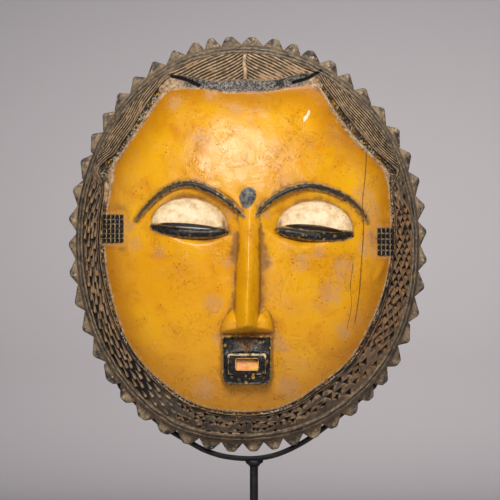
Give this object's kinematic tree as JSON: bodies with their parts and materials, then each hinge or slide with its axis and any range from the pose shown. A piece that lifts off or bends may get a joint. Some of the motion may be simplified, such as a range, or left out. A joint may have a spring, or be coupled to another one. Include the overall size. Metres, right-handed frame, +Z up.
{
  "type": "carved mask on a stand",
  "caption": "Hollow oval face mask with a toothed rim, a lattice-carved border and slit eyes, held by a bent bar cradle on an upright rod and a flat foot.",
  "frame": {"origin": "centre of the foot's underside, on the rod's axis", "axes": "+Z up along the rod, the mask looks along -Y, and +X is to the right of someone who faces it"},
  "size_m": [0.2161, 0.1232, 0.3549],
  "materials": {
    "carved_wood": "old oil paint on carved wood, yellow ochre with black and cream, worn and dusty",
    "blackened_steel": "satin black"
  },
  "bodies": {
    "root": {"mask": "carved_wood", "cradle": "blackened_steel", "rod": "blackened_steel", "base": "blackened_steel"}
  },
  "joints": []
}
